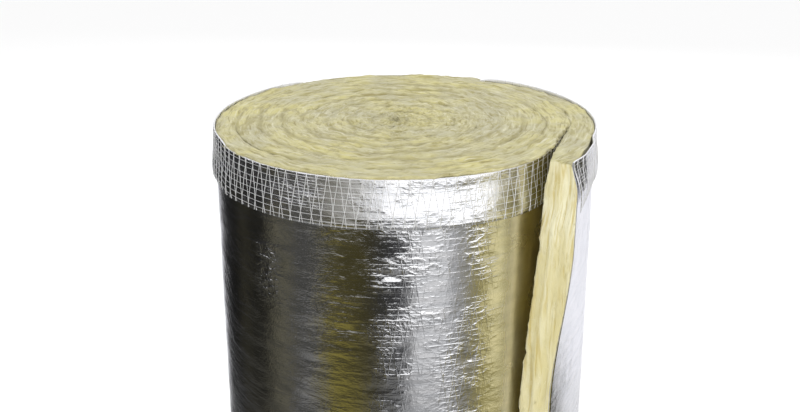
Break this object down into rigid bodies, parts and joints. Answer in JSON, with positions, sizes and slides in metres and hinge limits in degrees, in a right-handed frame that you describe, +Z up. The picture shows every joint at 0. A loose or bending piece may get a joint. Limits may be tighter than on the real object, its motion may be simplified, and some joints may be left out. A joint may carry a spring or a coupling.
{
  "type": "insulation roll",
  "caption": "Roll of foil-faced glass wool blanket standing on end, with a folded-down taping flap along the top and a loose outer end that springs away from the roll.",
  "frame": {"origin": "on the winding axis, in the plane that the roll stands on", "axes": "+Z up along the winding axis; +X towards the side where the outer turn lies loose; the blanket's end faces -Y, at the front right"},
  "size_m": [0.4224, 0.4124, 0.602],
  "materials": {
    "glass_wool": "soft matt fibres",
    "foil_laminate": "bright crinkled foil"
  },
  "bodies": {
    "root": {"glass_wool_blanket": "glass_wool", "foil_facing": "foil_laminate"}
  },
  "joints": []
}
